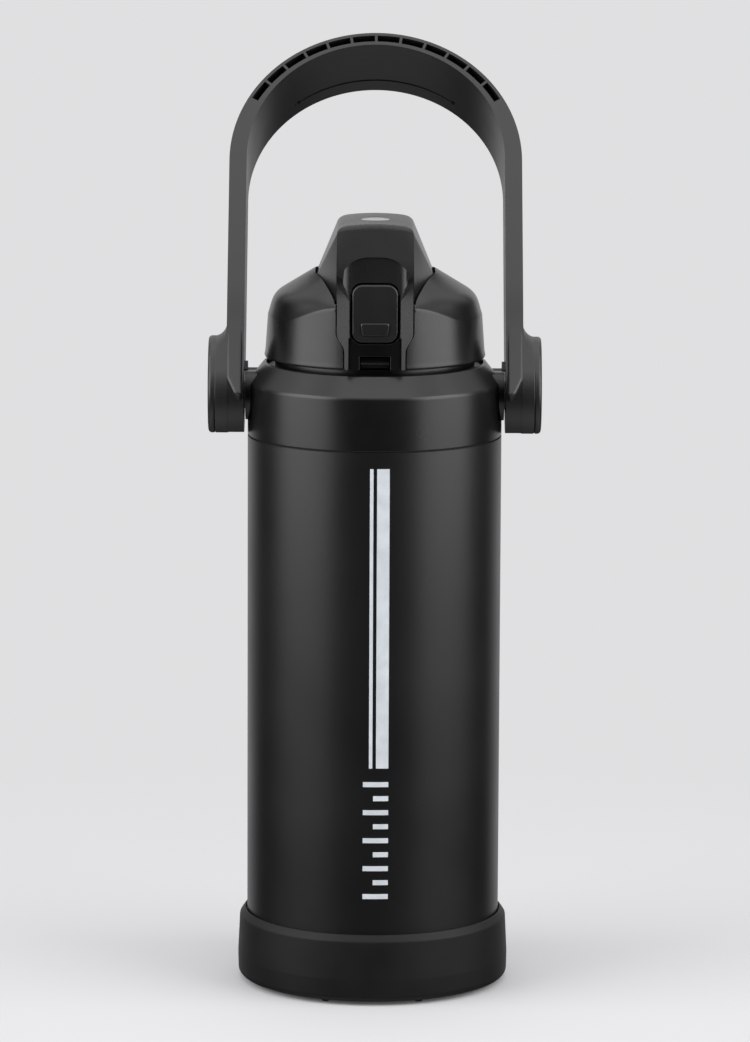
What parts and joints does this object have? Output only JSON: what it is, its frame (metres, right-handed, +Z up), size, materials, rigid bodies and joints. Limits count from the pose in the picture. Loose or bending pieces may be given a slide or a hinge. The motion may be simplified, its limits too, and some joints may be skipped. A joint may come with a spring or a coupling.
{
  "type": "insulated water jug",
  "caption": "Tall vacuum-insulated steel water jug with a swinging carry handle, screw-on lid, flip-up spout cover with push button, and rubber base boot.",
  "frame": {"origin": "centre of the jug's base on the surface it stands on, on the body's axis", "axes": "+Z up along the body's axis, the push button faces -Y, +X to the right seen from the front"},
  "size_m": [0.1452, 0.1726, 0.4114],
  "materials": {
    "powder_coat": "satin black powder coat",
    "bare_steel": "brushed stainless steel",
    "boot_rubber": "matte black silicone rubber",
    "print_ink": "pale grey printed ink",
    "collar_plastic": "satin black moulded plastic",
    "brass_parts": "turned brass",
    "seal_silicone": "grey silicone",
    "handle_plastic": "fine-grained black moulded plastic",
    "lid_plastic": "satin black moulded plastic",
    "button_plastic": "smooth black moulded plastic",
    "badge_metal": "satin metal disc"
  },
  "bodies": {
    "bottle": {"outer_shell": "powder_coat", "outer_base": "bare_steel", "inner_flask": "bare_steel", "getter_capsule": "bare_steel", "vacuum_seal_cap": "bare_steel", "base_boot": "boot_rubber", "stripe_print": "print_ink", "collar_gasket": "boot_rubber", "shoulder_collar": "collar_plastic", "pivot_inserts": "brass_parts", "pivot_washers": "seal_silicone", "pivot_screws": "bare_steel"},
    "handle": {"carry_handle": "handle_plastic", "pivot_bushes": "brass_parts", "hub_cap_left": "handle_plastic", "hub_cap_right": "handle_plastic"},
    "seal_ring": {"neck_seal": "seal_silicone"},
    "lid": {"lid_shell": "lid_plastic", "lid_core": "lid_plastic", "stopper": "lid_plastic", "spout": "lid_plastic", "vent_valve": "seal_silicone", "latch_catch": "lid_plastic", "hinge_pin": "bare_steel"},
    "cover": {"flip_cover": "lid_plastic", "seal_carrier": "lid_plastic", "spout_seal": "seal_silicone", "latch_housing": "button_plastic", "top_badge": "badge_metal", "button_pin": "bare_steel", "button_spring": "bare_steel"},
    "button": {"open_button": "button_plastic"}
  },
  "joints": [
    {"name": "handle_swing", "type": "hinge", "parent": "bottle", "child": "handle", "pos_m": [0, 0, 0.262], "axis": [1, 0, 0], "range_deg": [0, 70]},
    {"name": "lid_rise", "type": "slide", "parent": "bottle", "child": "seal_ring", "axis": [0, 0, 1], "range_m": [0, 0.01]},
    {"name": "lid_turn", "type": "hinge", "parent": "seal_ring", "child": "lid", "pos_m": [0, 0, 0.2772], "axis": [0, 0, 1], "range_deg": [0, 720]},
    {"name": "cover_open", "type": "hinge", "parent": "lid", "child": "cover", "pos_m": [0, 0.0382, 0.309], "axis": [-1, 0, 0], "range_deg": [0, 105]},
    {"name": "button_press", "type": "hinge", "parent": "cover", "child": "button", "pos_m": [0, -0.0461, 0.3111], "axis": [1, 0, 0], "range_deg": [0, 6], "stiffness_Nm_per_rad": 0.2, "springref_deg": -2.86}
  ],
  "couplings": [
    {"joint": "lid_rise", "follows": "lid_turn", "m_per_rad": 0.00079577}
  ]
}
